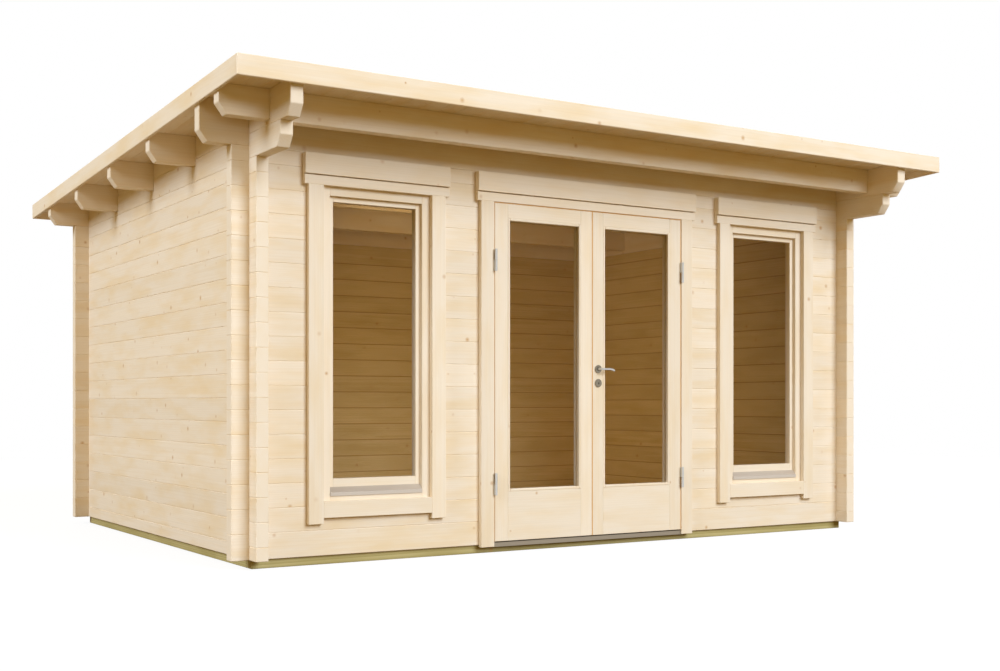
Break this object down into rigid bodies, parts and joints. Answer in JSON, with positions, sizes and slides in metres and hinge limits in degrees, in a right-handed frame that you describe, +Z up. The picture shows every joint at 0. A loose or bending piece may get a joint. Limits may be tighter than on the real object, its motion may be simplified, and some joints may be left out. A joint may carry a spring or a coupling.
{
  "type": "log-built garden office",
  "caption": "Garden office of interlocked planed logs under a pent roof on beams, with a glazed double door that opens outward and a tall fixed window each side.",
  "frame": {"origin": "middle of the overall box at ground level, under the bearers", "axes": "+X along the front to the right as seen from outside, +Y from the front to the back, +Z up"},
  "size_m": [5.05, 4.3, 2.5734],
  "materials": {
    "planed_spruce": "planed, bare",
    "roof_boards": "planed, bare",
    "fascia_boards": "planed, bare",
    "floor_boards": "planed, bare",
    "treated_timber": "rough, pressure treated",
    "joinery_spruce": "planed, bare",
    "casing_boards": "planed, bare",
    "clear_glass": "clear, sealed units",
    "grey_aluminium": "satin, mill finish",
    "satin_steel": "satin"
  },
  "bodies": {
    "building": {"front_wall_left": "planed_spruce", "front_wall_right": "planed_spruce", "front_wall_over_door": "planed_spruce", "back_wall": "planed_spruce", "left_wall": "planed_spruce", "right_wall": "planed_spruce", "front_top_log": "planed_spruce", "back_top_log": "planed_spruce", "lower_bracket_logs": "planed_spruce", "upper_bracket_logs": "planed_spruce", "overhang_beam": "planed_spruce", "purlins": "planed_spruce", "roof_deck": "roof_boards", "front_fascia": "fascia_boards", "back_fascia": "fascia_boards", "side_fascias": "fascia_boards", "floor": "floor_boards", "front_bearer": "treated_timber", "back_bearer": "treated_timber", "side_bearers": "treated_timber", "floor_joists": "treated_timber", "window_frames": "joinery_spruce", "window_sashes": "joinery_spruce", "door_jambs": "joinery_spruce", "door_head_jamb": "joinery_spruce", "door_sill": "joinery_spruce", "window_side_casings": "casing_boards", "window_sill_casings": "casing_boards", "window_heads": "casing_boards", "door_casings": "casing_boards", "door_head": "casing_boards", "window_panes": "clear_glass", "window_drips": "grey_aluminium", "door_threshold": "grey_aluminium", "frame_hinges": "satin_steel"},
    "left_door_leaf": {"left_leaf": "joinery_spruce", "left_leaf_pane": "clear_glass", "left_leaf_hinges": "satin_steel"},
    "right_door_leaf": {"right_leaf": "joinery_spruce", "right_leaf_pane": "clear_glass", "right_leaf_hinges": "satin_steel", "lock_roses": "satin_steel"},
    "lever": {"lever_handle": "satin_steel"}
  },
  "joints": [
    {"name": "left_leaf_hinge", "type": "hinge", "parent": "building", "child": "left_door_leaf", "pos_m": [-0.712, -1.596, 1.07], "axis": [0, 0, -1], "range_deg": [0, 100]},
    {"name": "right_leaf_hinge", "type": "hinge", "parent": "building", "child": "right_door_leaf", "pos_m": [0.712, -1.596, 1.07], "axis": [0, 0, 1], "range_deg": [0, 100]},
    {"name": "lever_turn", "type": "hinge", "parent": "right_door_leaf", "child": "lever", "pos_m": [0.046, -1.578, 1.099], "axis": [0, 1, 0], "range_deg": [0, 40], "stiffness_Nm_per_rad": 1.2, "springref_deg": -28.65}
  ]
}
